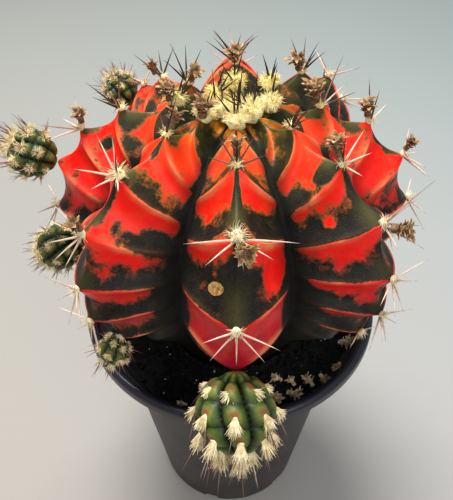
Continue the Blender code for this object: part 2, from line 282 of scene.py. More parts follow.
# %% [markdown]
# ## The body's form
# A ribbed cactus is a ball drawn out into crests. Each crest carries areoles, the cushions that
# spines grow from, and from each areole a sharp fold runs down both flanks into the furrow. The form
# is one function of direction, the same that the design model uses, so a UV sphere can be shaped by
# it. The sphere's rows are bent to follow the folds, so that each fold has a row of edges of its own
# and stays crisp.

# %% The ribs, their areoles and their folds
PLANT = Vector((1 * MM, -2 * MM, 0))
SOIL_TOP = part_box("soil")[1].z
HEART_HEIGHT = 42.5 * MM
HEART = Vector((PLANT.x, PLANT.y, SOIL_TOP + HEART_HEIGHT))
REACH = 53 * MM
NECK_RADIUS = 19 * MM
NECK_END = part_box("cactus_body")[0].z
END_ANGLE = 148
RIB_SPAN = math.radians(45)
FOLD_DEPTH = 2.7 * MM
CREST_SHARPNESS = 1.35
# From crest to furrow a fold drops by the first number of degrees at the top, and for each degree
# further down by the second number less, so the folds are level at 64 degrees and rise below it.
FOLD_DROP, FOLD_LEVELLING = 30, 0.47
FOLD_FADE, FOLDS_END = 20, 125
CREST_LINE = ((0, 0.64), (15, 0.76), (30, 0.86), (45, 0.95), (60, 1.0), (75, 0.985), (90, 0.93),
              (103, 0.86), (118, 0.77), (135, 0.74), (148, 0.80))
FURROW_LINE = ((0, 0.64), (20, 0.685), (40, 0.69), (60, 0.69), (80, 0.69), (95, 0.67),
               (115, 0.63), (133, 0.66), (148, 0.80))
# Each rib's azimuth, how full it is, and the angles down from the top of its areoles, in degrees.
RIBS = {
    "front": (-90, 0.93, (13, 33, 52, 75, 97)),
    "front_left": (-135, 1.05, (15, 29, 45, 61, 77, 91, 108)),
    "left": (180, 0.86, (20, 37, 51, 65, 82, 98)),
    "back_left": (135, 0.64, (11, 25, 38, 51, 64, 79, 94)),
    "back": (90, 0.82, (14, 29, 45, 61, 77, 93)),
    "back_right": (45, 0.80, (18, 34, 50, 66, 82, 98)),
    "right": (0, 0.76, (13, 29, 45, 62, 79, 95)),
    "front_right": (-45, 1.0, (9, 24, 41, 58, 74, 88, 101)),
}


def nearest_rib(azimuth):
    """The rib at an azimuth, and how far across it that is: 0 on its crest, -1 or 1 in a furrow."""
    found = []
    for name, (rib_azimuth, _, _) in RIBS.items():
        away = (azimuth - math.radians(rib_azimuth) + math.pi) % (2 * math.pi) - math.pi
        found.append((abs(away), away, name))
    _, away, name = min(found)
    return name, min(max(away / (RIB_SPAN / 2), -1), 1)


def interval(angle, stations):
    """Which areole is the last above an angle, and how far on to the next areole it is, 0 to 1."""
    first, last = stations[0], stations[-1]
    if angle <= first:
        return -1, 1 - (first - angle) / (2 * first)
    if angle >= last:
        return len(stations) - 1, min((angle - last) / (last - stations[-2]), 1)
    i = max(k for k, station in enumerate(stations) if station <= angle)
    return i, (angle - stations[i]) / (stations[i + 1] - stations[i])


def body_distance(angle, rib, out, along):
    """How far the skin is from the heart. The place along the folds is an angle on the crest."""
    _, fullness, stations = RIBS[rib]
    furrow = curve_through(FURROW_LINE, angle)
    rise = max(curve_through(CREST_LINE, angle) - furrow, 0) * fullness
    distance = REACH * (furrow + rise * (1 - out**CREST_SHARPNESS))
    _, t = interval(along, stations)
    hollow = abs(math.sin(math.pi * t)) ** 0.9
    flank = (1 - out**3) * (1 + 0.5 * math.sin(math.pi * out))
    fade_out = min(angle / FOLD_FADE, 1) * min(max((FOLDS_END - angle) / FOLD_FADE, 0), 1)
    return distance - FOLD_DEPTH * hollow * flank * fade_out


def fold_angle(along, out):
    """How far down a fold is on its way to the furrow, by where it starts on the crest."""
    return (along + FOLD_DROP * out) / (1 + FOLD_LEVELLING * out)


def outward(angle, azimuth):
    """The direction at an angle down from +Z, in degrees, and at an azimuth."""
    down = math.radians(angle)
    return Vector((math.sin(down) * math.cos(azimuth), math.sin(down) * math.sin(azimuth), math.cos(down)))


def skin_frame(rib, angle):
    """The frame of a point on a rib's crest: +Z out of the skin, +X down along the crest."""
    azimuth = math.radians(RIBS[rib][0])
    above, below = [HEART + outward(each, azimuth) * REACH * curve_through(CREST_LINE, each)
                    for each in (angle - 4, angle + 4)]
    down = (below - above).normalized()
    across = Vector((-math.sin(azimuth), math.cos(azimuth), 0))
    out = down.cross(across).normalized()
    if out.dot(outward(angle, azimuth)) < 0:
        out = -out
        across = -across
    placed = Matrix((down, across, out)).transposed().to_4x4()
    placed.translation = HEART + outward(angle, azimuth) * body_distance(angle, rib, 0, angle)
    return placed


# %% [markdown]
# ## The body's pigment
# The skin is red where it has no green, and nearly black where it has. The red starts sharply at each
# fold and gives way lower down to the dark, with a ragged edge. A number for each vertex says how far
# it lies on the dark side: a rule gives it for every rib, listed shares say how much of each
# interval stays red on either flank, and a few spots are added where the plant has them. The shader
# then adds noise to that number, so that the edge is ragged at every scale.

# %% How dark each place is
RED_SHARE, CROWN_RED_SHARE = 0.56, 0.6
# The red share of each interval, counted from the first areole, on the left and the right flank.
RED_SHARES = {
    "front": ((0.75, 0.75), (0.58, 0.58), (0.42, 0.50), (1.3, 1.3), (1.2, 1.2)),
    "front_left": ((0.1, 1.05), (0.62, 0.66), (0.9, 1.02), (0.5, 0.6), (0.55, 0.5), (0.9, 0.75)),
    "left": ((0.6, 0.80), (0.8, 1.1), (0.8, 1.1), (0.6, 0.75), (0.5, 0.55)),
    "back_left": ((0.8, 0.6), (0.9, 0.7), (0.8, 0.8), (0.6, 0.6), (0.6, 0.5), (0.5, 0.5)),
    "back": ((0.7, 0.9), (0.7, 0.8), (0.5, 0.6), (0.6, 0.5), (0.5, 0.6)),
    "back_right": ((0.0, 0.3), (0.45, 0.4), (0.6, 0.5), (0.5, 0.6), (0.6, 0.5)),
    "right": ((0.85, 0.4), (1.1, 0.7), (1.05, 0.8), (0.72, 0.6), (0.5, 0.5)),
    "front_right": ((0.5, 0.3), (0.80, 0.8), (0.36, 0.45), (0.58, 0.5), (0.62, 0.6), (0.5, 0.4)),
}
# Each rib's spots: the angle along it and across it, their half sizes, and dark (1) or red (-1).
SPOTS = {
    "front": ((62, -0.02, 8, 0.36, 0.5), (42, 0.0, 10, 0.08, 0.9), (24, 0.0, 8, 0.13, 0.8),
              (66, 0.62, 9, 0.25, -0.8), (45, 0.45, 4, 0.3, 0.35), (90, 0.25, 5, 0.2, 0.4)),
    "front_left": ((37, -0.05, 5, 0.12, -0.3), (57, 0.66, 6, 0.28, 0.9), (53, -0.03, 7, 0.09, 0.9),
                   (56, 0.22, 2, 0.06, 0.45), (57, 0.34, 2, 0.06, 0.4), (33, -0.02, 3, 0.12, 0.8)),
    "left": ((45, 0.28, 4, 0.13, 0.8), (44, 0.75, 5, 0.16, 0.6), (48, -0.05, 3, 0.16, 0.3),
             (58, 0.55, 3, 0.15, 0.4), (33, 0.1, 4, 0.2, 0.5)),
    "back": ((22, -0.4, 5, 0.2, 0.4),),
    "back_right": ((26, -0.3, 8, 0.6, 0.5),),
    "right": ((55, 0.03, 7, 0.10, 0.8), (24, 0.0, 5, 0.2, 0.5), (39, -0.12, 4, 0.14, 0.7),
              (67, -0.35, 5, 0.3, 0.4)),
    "front_right": ((38, -0.22, 2.5, 0.16, 0.6), (33, 0.3, 4, 0.3, -0.4), (51, 0.06, 7, 0.12, 0.8),
                    (52, -0.42, 2.5, 0.09, -0.55), (37, -0.75, 4, 0.2, 0.5)),
}


def darkness(rib, side, along):
    """Below 0 the skin is red and above 0 dark. One unit is one interval between areoles."""
    i, t = interval(along, RIBS[rib][2])
    shares = RED_SHARES[rib]
    out = abs(side)
    share = CROWN_RED_SHARE if i < 0 else RED_SHARE
    if 0 <= i < len(shares):
        left, right = shares[i]
        share = left + (right - left) * ease(-0.25, 0.25, side)
    # The red tapers to a point as its fold runs into the furrow, most of all on the old skin low down.
    if share < 1:
        share *= 1 - (0.25 + 0.5 * ease(45, 80, along)) * ease(0.35, 1.0, out)
    value = max(t - share - 0.2 * ease(0.88, 1, t) * (share < 1), -0.5)
    furrow_start = 0.80 - 0.18 * ease(68, 85, along)
    value += 0.9 * ease(furrow_start, furrow_start + 0.2, out) + 0.25 * ease(88, 112, along)
    value += 0.3 * (1 - ease(0.03, 0.11, out)) * (t < 0.5)
    for angle, across, high, wide, amount in SPOTS.get(rib, ()):
        away = math.hypot((along - angle) / high, (side - across) / wide)
        value += amount * (1 - ease(0.1, 1.5, away))
    return min(max(value, -1), 1.5)


# %% Shape the body
ROWS, COLUMNS = 198, 440
ROW_ANGLE = END_ANGLE / (ROWS - 2)
body_shape = bmesh.new()
bmesh.ops.create_uvsphere(body_shape, u_segments=COLUMNS, v_segments=ROWS, radius=1)
layers = {key: body_shape.verts.layers.float.new(key) for key in ("dark", "age", "ridge_highlight", "furrow", "crest")}


def snapped(angle, stations):
    """Moves a row's angle so that each areole's angle is one of the rows'."""
    marks = [0, *stations, END_ANGLE]
    rows = [0] + [round(station / ROW_ANGLE) * ROW_ANGLE for station in stations] + [END_ANGLE]
    i = max(k for k in range(len(marks) - 1) if rows[k] <= angle + 1e-6)
    return marks[i] + (angle - rows[i]) / (rows[i + 1] - rows[i]) * (marks[i + 1] - marks[i])


def on_neck(azimuth, radius, height):
    return PLANT.x + radius * math.cos(azimuth), PLANT.y + radius * math.sin(azimuth), height


for vert in body_shape.verts:
    row = round(math.acos(max(min(vert.co.z, 1), -1)) / (math.pi / ROWS))
    azimuth = math.atan2(vert.co.y, vert.co.x)
    if row >= ROWS - 1:
        vert.co = on_neck(azimuth, NECK_RADIUS if row == ROWS - 1 else 0, NECK_END)
        vert[layers["dark"]] = 1
        continue
    rib, side = nearest_rib(azimuth)
    out = abs(side)
    stations = RIBS[rib][2]
    plain = row * ROW_ANGLE
    along = plain + (snapped(plain, stations) - plain) * (1 - ease(0.8, 1, out))
    follow = ease(0, 9, along) * (1 - ease(104, END_ANGLE, along))
    angle = along + (fold_angle(along, out) - along) * follow
    on_fold = along if follow > 0.999 else angle - (FOLD_DROP - FOLD_LEVELLING * angle) * out
    vert.co = HEART + outward(angle, azimuth) * body_distance(angle, rib, out, on_fold)
    if row == ROWS - 2:
        vert.co = on_neck(azimuth, NECK_RADIUS, SOIL_TOP + GAP)
    i, t = interval(on_fold, stations)
    vert[layers["dark"]] = darkness(rib, side, on_fold)
    vert[layers["age"]] = angle / END_ANGLE
    vert[layers["furrow"]] = ease(0.5, 1, out)
    # Olive on the crest above each areole: partly the skin's own colour, partly a painted highlight.
    vert[layers["crest"]] = (1 - ease(0.0, 0.24, out)) * ease(0.35, 0.8, t)
    nearest_fold = min(t, 1.25 * (1 - t)) if i >= 0 else 1 - t
    # Painted highlight: a pale band along each fold's ridge, strongest mid flank.
    fold_highlight = (1 - ease(0.02, 0.16, nearest_fold)) * (1 - ease(98, 108, angle))
    vert[layers["ridge_highlight"]] = fold_highlight * ease(0.1, 0.5, out) * (1 - ease(0.75, 0.95, out))
print("body:", len(body_shape.verts), "vertices")

# %% [markdown]
# ## The body's finish
# The skin is waxy, so it has a soft sheen over strong colour. Young skin near the crown is ochre, then
# orange, then a pure red, and the oldest skin low down is crimson. The dark parts are black-green, with
# olive where they meet the red, and the crest above each areole is olive, partly as a painted highlight.
# A painted pale highlight runs along each fold, and painted shade darkens the skin into the furrows.

# %% Cactus skin
skin, tree, shader = new_finish("cactus_skin", Metallic=0.0, Specular_IOR_Level=0.2)
ragged = maths(tree, "ADD", wavering(tree, 1.6, 190, 4, 0.66), wavering(tree, 0.38, 1300, 3, 0.7))
level = maths(tree, "ADD", attribute(tree, "dark"), ragged)
level = maths(tree, "ADD", maths(tree, "MULTIPLY", level, 0.5), 0.5)
age = attribute(tree, "age")
red = ramp(tree, age, (0.07, (0.56, 0.24, 0.010)), (0.12, (0.70, 0.17, 0.012)), (0.18, (0.82, 0.055, 0.008)),
           (0.27, (0.93, 0.012, 0.003)), (0.44, (0.90, 0.005, 0.003)), (0.54, (0.64, 0.006, 0.012)),
           (0.63, (0.40, 0.008, 0.024)), (0.76, (0.24, 0.008, 0.024)))
scuffs = ramp(tree, speckle(tree, 260, 4), (0.42, 0.0), (0.7, 0.55))
red = mix(tree, scuffs, red, mix(tree, 0.35, red, (0.90, 0.13, 0.04)))
mottling = speckle(tree, 330, 4, 0.7)
deep_green = ramp(tree, mottling, (0.35, (0.003, 0.0025, 0.0015)), (0.6, (0.009, 0.008, 0.004)),
                  (0.8, (0.034, 0.028, 0.012)))
fresh_green = ramp(tree, mottling, (0.3, (0.007, 0.010, 0.003)), (0.7, (0.045, 0.052, 0.012)))
dark = fade(tree, age, 0.16, 0.34, fresh_green, deep_green)
bloom = ramp(tree, speckle(tree, 3200, 2, 0.6), (0.55, 0.0), (0.75, 0.55))
dark = mix(tree, bloom, dark, (0.075, 0.066, 0.046))
# The crest above each areole turns olive: partly the skin's own colour, partly a painted highlight.
crest_olive_and_highlight = mix(tree, maths(tree, "MULTIPLY", attribute(tree, "crest"), 0.6), dark, (0.13, 0.115, 0.022))
dark = mix(tree, ramp(tree, age, (0.2, 1.0), (0.55, 0.2)), dark, crest_olive_and_highlight)
edge = fade(tree, age, 0.1, 0.5, (0.30, 0.12, 0.018), (0.17, 0.030, 0.014))
base = fade(tree, level, 0.40, 0.51, red, edge)
base = fade(tree, level, 0.48, 0.58, base, dark)
# Painted highlight: the skin turns pale peach along each fold's ridge, broken up by noise.
painted_highlight = mix(tree, ramp(tree, level, (0.40, 0.85), (0.56, 0.08)), base, (0.86, 0.33, 0.13))
highlight_breakup = ramp(tree, speckle(tree, 160, 3), (0.35, 0.15), (0.65, 0.9))
base = mix(tree, maths(tree, "MULTIPLY", attribute(tree, "ridge_highlight"), highlight_breakup), base, painted_highlight)
furrow = attribute(tree, "furrow")
# Painted shade: the colour is darkened towards each furrow, the crease between the ribs.
shaded = mix(tree, 1.0, base, (0.16, 0.14, 0.12), "MULTIPLY")
base = mix(tree, maths(tree, "MULTIPLY", furrow, 0.92), base, shaded)
dullness = mix(tree, furrow, ramp(tree, level, (0.42, 0.36), (0.6, 0.50)), (0.8, 0.8, 0.8))
feed(tree, shader, Base_Color=base, Roughness=dullness, Normal=grain(tree, 3800, 0.00012, 0.5)["Normal"])
body = add_piece("ribbed_body", body_shape, skin, "cactus_skin", "cactus_body", smooth_angle=180)
print("body finished:", len(body.data.polygons), "faces")

# %% [markdown]
# ## The scar
# One flank carries a corky spot, where an old wound healed over. It is a thin disc with a ragged,
# raised rim, laid on the skin.

# %% Scar
def on_skin(rib, along, side):
    """A place on the skin by its angle along the folds and across the rib, and the skin's normal."""
    azimuth = math.radians(RIBS[rib][0]) + side * RIB_SPAN / 2

    def place(step_down, step_round):
        out = abs(side + step_round)
        angle = fold_angle(along + step_down, out)
        turn = azimuth + step_round * RIB_SPAN / 2
        return HEART + outward(angle, turn) * body_distance(angle, rib, out, along + step_down)

    middle = place(0, 0)
    normal = (place(1, 0) - place(-1, 0)).cross(place(0, 0.03) - place(0, -0.03)).normalized()
    if normal.dot(middle - HEART) < 0:
        normal = -normal
    return middle, normal


def pointing(root, direction, towards):
    """A frame at root with +Z along direction, and +X as near to the other direction as it can be."""
    along = direction.normalized()
    side = towards - along * towards.dot(along)
    side = side.normalized() if side.length > 1e-6 else along.orthogonal().normalized()
    placed = Matrix((side, along.cross(side), along)).transposed().to_4x4()
    placed.translation = root
    return placed


DOWN = Vector((0, 0, -1))
PICTURE_UP = Vector((0, 0.7, 0.7))
SCAR_RADIUS = 1.85 * MM
SCAR_LONG, SCAR_SHORT = 1.3, 0.82
scar_shape = bmesh.new()
bmesh.ops.create_circle(scar_shape, cap_ends=True, segments=28, radius=SCAR_RADIUS)
disc = scar_shape.faces[:]
for inset, lift in ((0.25, 0.22), (0.3, -0.16), (0.5, 0.04)):
    bmesh.ops.inset_region(scar_shape, faces=disc, thickness=inset * MM, depth=lift * MM)
bmesh.ops.poke(scar_shape, faces=disc)
rim_edges = [edge for edge in scar_shape.edges if edge.is_boundary]
skirt = bmesh.ops.extrude_edge_only(scar_shape, edges=rim_edges)["geom"]
for vert in (each for each in skirt if isinstance(each, bmesh.types.BMVert)):
    vert.co.z -= 0.7 * MM
bmesh.ops.holes_fill(scar_shape, edges=[edge for edge in scar_shape.edges if edge.is_boundary])
for vert in scar_shape.verts:
    vert.co *= 1 + 0.09 * noise.noise(vert.co * 1500)
    vert.co = Vector((SCAR_LONG * vert.co.x, SCAR_SHORT * vert.co.y, vert.co.z))
scar_place, scar_normal = on_skin("front", 66.5, -0.27)
scar_frame = pointing(scar_place, scar_normal, scar_normal.cross(PICTURE_UP))
bmesh.ops.transform(scar_shape, matrix=scar_frame, verts=scar_shape.verts)
cork, tree, shader = new_finish("cork", Specular_IOR_Level=0.2)
flakes = speckle(tree, 1100, 4, 0.7)
browns = ramp(tree, flakes, (0.35, (0.16, 0.075, 0.022)), (0.52, (0.42, 0.23, 0.075)),
              (0.7, (0.60, 0.38, 0.15)))
feed(tree, shader, Base_Color=browns, Roughness=ramp(tree, flakes, (0.3, 0.7), (0.7, 0.95)),
     Normal=grain(tree, 2600, 0.0002, 0.7)["Normal"])
add_piece("cork_scar", scar_shape, cork, "cactus_skin")
print("scar at", [round(each / MM, 1) for each in scar_place], "mm")

# %% [markdown]
# ## Needles and wool
# An areole is a small felted cushion. Its needles are stiff, round and tapered, black near the crown
# where they are young, and bleached to ivory lower down. Its wool is short curled fibre. One needle
# and one fibre are made once, as small meshes, and copies of them are bent and placed by the hundred.

# %% Templates
def needle_template(sides, rings, tip, swell=0.0):
    """A tapered needle, one unit long and one in radius at the root, that stands on the origin."""
    made = bmesh.new()
    bmesh.ops.create_cone(made, cap_ends=True, segments=sides, radius1=1, radius2=tip, depth=1,
                          matrix=Matrix.Translation((0, 0, 0.5)))
    long_edges = [edge for edge in made.edges if abs(edge.verts[0].co.z - edge.verts[1].co.z) > 0.5]
    bmesh.ops.subdivide_edges(made, edges=long_edges, cuts=rings - 1)
    for vert in made.verts:
        fuller = 1 + swell * math.sin(math.pi * vert.co.z)
        vert.co.x *= fuller
        vert.co.y *= fuller
    return as_mesh("template", made)


def ball_template(subdivisions):
    made = bmesh.new()
    bmesh.ops.create_icosphere(made, subdivisions=subdivisions, radius=1)
    return as_mesh("template", made)


def copy_into(shape, template):
    """Adds a copy of a template's mesh, and returns its vertices."""
    first = len(shape.verts)
    shape.from_mesh(template)
    shape.verts.ensure_lookup_table()
    return shape.verts[first:]


NEEDLE = needle_template(6, 5, 0.10, 0.25)
FIBRE = needle_template(3, 3, 0.25, 0.2)
FLOWER_CORE = needle_template(8, 2, 0.9)
MOUND = ball_template(2)
CRUMB = ball_template(1)


def grow(shape, template, place, length, radius, bend=0.0, values=None):
    """Adds a copy of a template at a frame, along its +Z, with its tip bent towards its +X."""
    for vert in copy_into(shape, template):
        height = vert.co.z
        vert.co = place @ Vector((vert.co.x * radius + bend * length * height**2, vert.co.y * radius,
                                  height * length))
        for layer, value in (values or {}).items():
            vert[layer] = height if value is None else value


def on_sphere(turn, rise):
    """The x, y and z of a direction by its turn about +Z and its rise off the level, in degrees."""
    turn, rise = math.radians(turn), math.radians(rise)
    return math.cos(rise) * math.cos(turn), math.cos(rise) * math.sin(turn), math.sin(rise)


def add_needle(shape, layers, placed, turn, rise, length, tone, radius=0.30 * MM, bend=0.05, root=0.5 * MM):
    """Adds one needle to an areole, by its turn from straight down the rib and its rise off the skin.
    Its tone runs from 0, black, to 1, ivory."""
    direction = placed.to_3x3() @ Vector(on_sphere(turn, rise))
    start = pointing(placed.translation + direction * root, direction, DOWN)
    grow(shape, NEEDLE, start, length, radius, bend, {layers[0]: None, layers[1]: tone})


# %% Needle, wool and flower finishes
needle_finish, tree, shader = new_finish("needle", Specular_IOR_Level=0.35, Roughness=0.45)
along, tone = attribute(tree, "along"), attribute(tree, "tone")
black = ramp(tree, along, (0.0, (0.06, 0.022, 0.013)), (0.25, (0.012, 0.006, 0.005)),
             (1.0, (0.004, 0.003, 0.003)))
ivory = ramp(tree, along, (0.0, (0.36, 0.20, 0.11)), (0.2, (0.72, 0.52, 0.38)), (0.8, (0.80, 0.64, 0.50)),
             (1.0, (0.22, 0.10, 0.07)))
brown = ramp(tree, along, (0.0, (0.30, 0.14, 0.10)), (0.5, (0.22, 0.08, 0.06)), (1.0, (0.03, 0.015, 0.012)))
coloured = fade(tree, tone, 0.1, 0.45, black, brown)
coloured = fade(tree, tone, 0.5, 0.85, coloured, ivory)
streaks = ramp(tree, speckle(tree, 900, 3), (0.4, 0.25), (0.6, 0.0))
feed(tree, shader, Base_Color=mix(tree, streaks, coloured, (0.10, 0.05, 0.035)))

wool_finish, tree, shader = new_finish("plant_wool", Roughness=0.95, Specular_IOR_Level=0.1)
fleck = speckle(tree, 700, 3)
aged_wool = ramp(tree, fleck, (0.3, (0.42, 0.31, 0.18)), (0.5, (0.78, 0.67, 0.46)), (0.7, (0.94, 0.88, 0.70)))
young_wool = ramp(tree, fleck, (0.3, (0.50, 0.37, 0.13)), (0.5, (0.88, 0.74, 0.28)),
                  (0.7, (0.97, 0.88, 0.50)))
feed(tree, shader, Base_Color=mix(tree, attribute(tree, "young"), aged_wool, young_wool))

dry_finish, tree, shader = new_finish("withered_flower", Roughness=0.85, Specular_IOR_Level=0.25)
fleck = speckle(tree, 800, 4, 0.7)
tan = ramp(tree, fleck, (0.3, (0.10, 0.042, 0.016)), (0.48, (0.36, 0.20, 0.085)), (0.68, (0.70, 0.50, 0.28)))
foot_brown = mix(tree, 0.72, tan, (0.03, 0.012, 0.006))
feed(tree, shader, Base_Color=mix(tree, attribute(tree, "tip"), foot_brown, tan),
     Normal=grain(tree, 2500, 0.00015, 0.6)["Normal"])


# %% A tuft of wool
def add_tuft(shape, young_layer, placed, radius, height, fibres, length, draw,
             young=0.0, droop=0.0, thick=0.08):
    """Adds a felted mound with curled fibres. Draw is the tuft's random source."""
    squash = Matrix.Diagonal((radius, radius, height, 1))
    for vert in copy_into(shape, MOUND):
        vert.co = placed @ squash @ vert.co
        away = vert.co - placed.translation
        vert.co += away * 0.3 * noise.noise(vert.co * 900)
        vert[young_layer] = young
    hang = min(droop, 1)
    flat = placed.to_3x3()
    lift = flat.col[2] * 0.45 * hang
    for _ in range(fibres):
        turn = draw.uniform(0, 360)
        x, y, z = on_sphere(turn, 90 - (80 - 30 * hang) * math.sqrt(draw.random()))
        root = Vector((x * radius, y * radius, z * height)) * 0.8
        heading = (flat @ Vector((x, y, z)) * (1 - 0.45 * hang) + DOWN * droop + lift).normalized()
        curl = Vector((draw.uniform(-1, 1), draw.uniform(-1, 1), draw.uniform(-1, 1) - 0.4 - droop))
        grow(shape, FIBRE, pointing(placed @ root, heading, curl), length * draw.uniform(0.6, 1.25),
             thick * MM, draw.uniform(0.2, 0.75) * (1 - 0.5 * hang),
             {young_layer: young + draw.uniform(-0.15, 0.15)})


# %% [markdown]
# ## Areoles
# Each areole of the design model is one cushion with needles drawn out of it. Here it becomes a pad of
# wool, a piece of its own, and a cluster of needles that stands for the design node. The usual cluster
# has a needle straight down the rib, one aslant on either side and one level on either side, more
# upright near the crown. Areoles that face the front have their needles listed one by one. A rib's last
# areoles are too small for the design model, and are added here with short needles.

# %% Areole clusters
# Needles of some areoles: turn from straight down the rib, rise, length in mm, and tone.
HAND_SET = {
    ("front", 1): ((-140, 38, 8, 0.3), (140, 38, 8, 0.3), (-95, 22, 6, 0.45), (95, 26, 7, 0.3),
                   (178, 62, 6, 0.1)),
    ("front", 2): ((-85, 24, 11.0, 0.95), (88, 22, 12.5, 0.95), (-52, 26, 8.5, 1.0), (62, 26, 8.5, 1.0),
                   (12, 24, 6.5, 1.0)),
    ("front", 3): ((-92, 24, 7.6, 1.0), (-50, 24, 8, 1.0), (0, 22, 7.5, 1.0), (50, 24, 8.5, 1.0),
                   (85, 24, 9.5, 1.0)),
    ("front_left", 1): ((-165, 56, 8.5, 0.15), (160, 66, 9, 0.12), (-120, 40, 5, 0.3)),
    ("front_left", 2): ((-150, 40, 8.5, 0.75), (-120, 32, 9.5, 0.9), (-60, 28, 9, 1.0), (60, 20, 5, 0.9),
                        (-10, 30, 6, 1.0), (170, 62, 7, 0.3)),
    ("front_left", 3): ((-120, 26, 9.5, 0.8), (-90, 24, 9, 0.9), (-50, 28, 8, 0.95), (-20, 26, 8.5, 0.95),
                        (10, 24, 7.5, 1.0)),
    ("front_right", 2): ((110, 30, 9.0, 1.0), (70, 28, 6.5, 0.95), (0, 24, 5, 1.0), (165, 60, 7.5, 0.15),
                         (-150, 36, 5, 0.4)),
    ("front_right", 3): ((118, 40, 13.5, 0.6), (100, 24, 9, 0.6), (60, 24, 8, 0.5), (25, 26, 10, 0.75),
                         (-20, 30, 6, 0.9)),
    ("right", 1): ((66, 42, 13.5, 0.2), (95, 52, 8, 0.1), (110, 74, 9.5, 0.25), (38, 36, 8, 0.75),
                   (14, 26, 8, 0.15)),
    ("right", 2): ((150, 50, 10, 0.2), (110, 34, 9, 0.3), (175, 66, 8, 0.2), (60, 24, 9.5, 0.85)),
    ("back", 1): ((125, 62, 11, 0.1), (-160, 70, 9, 0.15), (-120, 55, 9, 0.2), (60, 45, 8, 0.25),
                  (95, 40, 9, 0.2)),
}
NO_AREOLE = {("front", 4), ("left", 3), ("left", 5), ("back_left", 4)}
LARGE_PADS = {("front", 2), ("front_left", 2)}
USUAL_TURNS = (0, 55, -55, 108, -108)
areole_count = 0
for rib, (_, _, stations) in RIBS.items():
    for areole, station in enumerate(stations):
        if areole == 0 or (rib, areole) in NO_AREOLE:
            continue
        node = f"spines_{rib}_{areole}"
        draw = random.Random(node)
        placed = skin_frame(rib, station)
        in_design = node in frame["nodes"]
        older = ease(28, 62, station)
        needles, *needle_layers = new_shape("along", "tone")
        usual = [(turn + draw.uniform(-13, 13), (58 - 32 * older) + draw.uniform(-8, 8),
                  draw.uniform(7.0, 10.0) * (1 if in_design else 0.62),
                  min(max(older + draw.uniform(-0.3, 0.25), 0), 1))
                 for turn in USUAL_TURNS[: 5 if in_design else 4]]
        for turn, rise, length, tone_value in HAND_SET.get((rib, areole), usual):
            add_needle(needles, needle_layers, placed, turn, rise, length * MM, tone_value,
                       radius=(0.27 if in_design else 0.2) * MM, bend=draw.uniform(0.0, 0.11))
        add_piece(f"needles_{rib}_{areole}", needles, needle_finish, "spines", *([node] if in_design else []))
        wool, young_layer = new_shape("young")
        big = 1.45 if (rib, areole) in LARGE_PADS else 1.0
        pad = placed @ Matrix.Translation((-0.5 * MM * big, 0, 0.25 * MM))
        add_tuft(wool, young_layer, pad, 1.05 * MM * big, 0.75 * MM * big, int(46 * big),
                 1.25 * MM * big, draw, young=0.55 * (1 - older) + 0.1)
        add_piece(f"felt_{rib}_{areole}", wool, wool_finish, "areole_wool")
        areole_count += 1
print(areole_count, "areoles")

# %% [markdown]
# ## The crown
# At the tip the areoles are still crowded together. Their wool is thick and pale yellow, and black
# upright needles stand out of it. It is made of one tuft in the middle, a ring of tufts round it and
# one on each rib's first areole, in one piece, because the real wool is felted together.

# %% Crown wool and needles
crown_wool, young_layer = new_shape("young")
crown_needles, *needle_layers = new_shape("along", "tone")
draw = random.Random("crown")
tip = skin_frame("front", 1.0)
tip.translation = Vector((HEART.x, HEART.y, HEART.z + REACH * CREST_LINE[0][1] + MM))
RING = 7
YELLOWEST = ("middle", "back", "back_right", "back_left")
# Each tuft's place, frame, size in mm, and how many fibres and needles it has.
tufts = [("middle", tip, 3.6, 442, 5)]
for step in range(RING):
    facing = tip @ Matrix.Rotation(2 * math.pi * (step + 0.3) / RING, 4, "Z")
    tufts.append(("ring", facing @ Matrix.Translation((4.8 * MM, 0, 1.5 * MM)), 2.4, 153, 1))
for rib, (_, _, stations) in RIBS.items():
    size = 2.7 if stations[0] < 15 else 2.2
    tufts.append((rib, skin_frame(rib, stations[0]), size, 289, 1 if rib == "right" else 3))
for place, placed, size, fibres, spines in tufts:
    raised = placed @ Matrix.Translation((0, 0, 0.5 * size * MM * 0.6))
    add_tuft(crown_wool, young_layer, raised, size * 0.92 * MM, size * 0.82 * MM, fibres, 1.5 * MM, draw,
             young=1.0 if place in YELLOWEST else 0.7, thick=0.1)
    for _ in range(spines):
        add_needle(crown_needles, needle_layers, raised, draw.uniform(0, 360), draw.uniform(48, 80),
                   draw.uniform(5.5, 8.5) * MM, draw.uniform(0, 0.12), radius=0.32 * MM,
                   bend=draw.uniform(-0.12, 0.12), root=1.0 * MM)
# Two long needles lie across the crown from the front right.
for turn, aside in ((-128, 0.0), (-134, 1.2)):
    start = skin_frame("front_right", 11) @ Matrix.Translation((0, aside * MM, 1.2 * MM))
    add_needle(crown_needles, needle_layers, start, turn, 42, 10.5 * MM, 0.0, radius=0.3 * MM, bend=-0.04)
add_piece("crown_fleece", crown_wool, wool_finish, "areole_wool", "crown_wool")
add_piece("crown_needles", crown_needles, needle_finish, "spines")

# %% [markdown]
# ## Withered flowers
# A spent flower dries on its areole as a short cone of curled, papery scales. One scale is a small
# grid, drawn to a point, curled and given thickness. Copies of it go round a spiral, flatter at the
# mouth than at the foot.

# %% One dry scale
def scale_template():
    """A curled scale, one unit long up +Z, whose back faces +X."""
    made = bmesh.new()
    bmesh.ops.create_grid(made, x_segments=2, y_segments=4, size=0.5)
    for vert in made.verts:
        across, up = vert.co.x, vert.co.y + 0.5
        width = 0.62 * math.sqrt(max(1 - up**1.8, 0.0)) + 0.05
        curl = 0.30 * up**2 - 0.35 * (across * width * 2)**2 - 0.12 * math.sin(3 * up)
        vert.co = (curl, across * width, up)
    bmesh.ops.recalc_face_normals(made, faces=made.faces)
    bmesh.ops.solidify(made, geom=made.faces[:], thickness=0.06)
    return as_mesh("template", made)


SCALE = scale_template()
GOLDEN_TURN = 137.5


